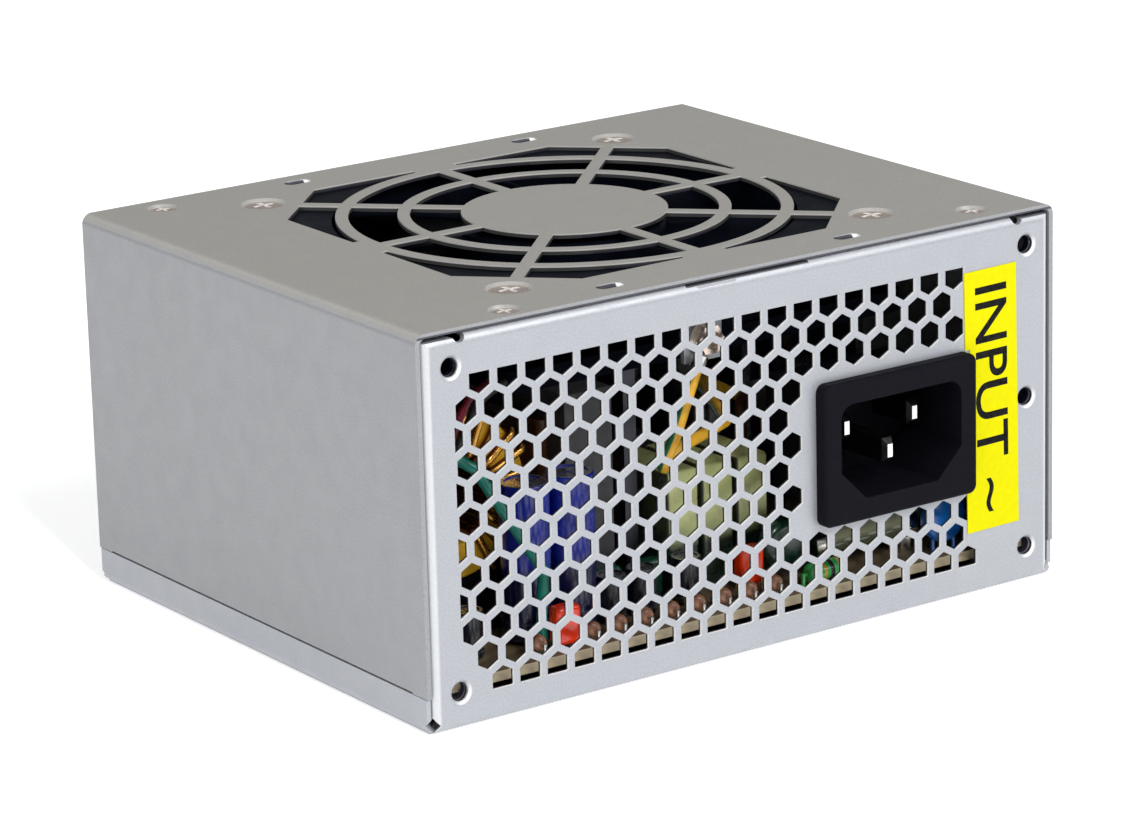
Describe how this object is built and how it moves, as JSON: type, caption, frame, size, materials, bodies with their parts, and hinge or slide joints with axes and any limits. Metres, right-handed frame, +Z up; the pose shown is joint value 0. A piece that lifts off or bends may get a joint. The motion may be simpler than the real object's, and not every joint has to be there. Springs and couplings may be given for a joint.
{
  "type": "power supply unit",
  "caption": "Compact computer power supply: folded steel case with hexagonal vent, recessed mains inlet, top fan under a pressed grille, and its electronics inside.",
  "frame": {"origin": "centre of the case's underside, on the plane that it stands on", "axes": "+Z up through the fan, +X along the case's width, -Y out of the rear panel with the mains inlet and vent"},
  "size_m": [0.125, 0.1038, 0.0635],
  "materials": {
    "case_steel": "satin",
    "cover_steel": "satin",
    "screw_nickel": "gloss",
    "label_yellow": "satin",
    "black_plastic": "matte",
    "fan_plastic": "satin",
    "white_plastic": "matte",
    "tinned_brass": "gloss",
    "bronze": "satin",
    "black_rubber": "matte",
    "pad_rubber": "matte",
    "wire_brown": "satin",
    "wire_blue": "satin",
    "wire_yellow": "satin",
    "wire_red": "satin",
    "wire_black": "satin",
    "wire_teal": "satin",
    "bright_steel": "satin",
    "magnet": "matte",
    "copper_wire": "gloss",
    "board_laminate": "satin",
    "insulating_film": "satin",
    "heatsink_aluminium": "satin",
    "package_plastic": "satin",
    "ferrite": "satin",
    "ferrite_green": "satin",
    "powder_core": "satin",
    "tape_brown": "satin",
    "tape_yellow": "satin",
    "sleeve_black": "gloss",
    "sleeve_blue": "gloss",
    "epoxy_pale": "satin",
    "epoxy_blue": "gloss",
    "epoxy_red": "gloss",
    "epoxy_green": "gloss",
    "epoxy_dark": "satin",
    "resistor_tan": "gloss",
    "fuse_glass": "gloss"
  },
  "bodies": {
    "case": {"base_chassis": "case_steel", "top_cover": "cover_steel", "cover_screws": "screw_nickel", "fan_screws": "screw_nickel", "voltage_label": "label_yellow", "inlet_housing": "black_plastic", "inlet_blades": "tinned_brass", "terminal_sleeves": "black_rubber", "live_wire": "wire_brown", "neutral_wire": "wire_blue", "earth_wire": "wire_yellow", "earth_ring_terminal": "tinned_brass", "earth_screw": "screw_nickel", "fan_frame": "fan_plastic", "fan_bearing": "bronze", "fan_stator_core": "bright_steel", "fan_stator_coils": "copper_wire", "fan_circuit_board": "board_laminate", "fan_lead_red": "wire_red", "fan_lead_black": "wire_black", "fan_plug": "white_plastic", "main_board": "board_laminate", "board_standoffs": "bright_steel", "board_screws": "screw_nickel", "insulating_sheet": "insulating_film", "secondary_heatsink": "heatsink_aluminium", "primary_heatsink": "heatsink_aluminium", "rectifier_packages": "package_plastic", "switching_transistors": "package_plastic", "insulator_pads": "pad_rubber", "package_screws": "screw_nickel", "main_transformer_core": "ferrite", "main_transformer_winding": "tape_brown", "standby_transformer_core": "ferrite", "standby_transformer_winding": "tape_yellow", "transformer_bases": "black_plastic", "output_choke_core": "powder_core", "output_choke_windings": "copper_wire", "output_choke_cradle": "black_plastic", "filter_choke_core": "ferrite_green", "filter_choke_windings": "copper_wire", "bulk_capacitors": "sleeve_black", "blue_capacitors": "sleeve_blue", "output_capacitors": "sleeve_black", "small_capacitors": "sleeve_black", "x_capacitors": "epoxy_pale", "y_capacitors": "epoxy_blue", "film_capacitors": "epoxy_red", "thermistor": "epoxy_dark", "resistors": "resistor_tan", "inductor": "epoxy_green", "fuse": "fuse_glass", "bridge_rectifier": "package_plastic", "small_semiconductors": "package_plastic", "sleeved_jumper": "wire_teal", "cable_bushing": "black_plastic"},
    "rotor": {"fan_rotor": "fan_plastic", "fan_shaft": "bright_steel", "fan_shaft_clip": "white_plastic", "fan_magnet_ring": "magnet"}
  },
  "joints": [
    {"name": "fan_spin", "type": "hinge", "parent": "case", "child": "rotor", "pos_m": [0, 0, 0.055], "axis": [0, 0, 1], "continuous": true}
  ]
}
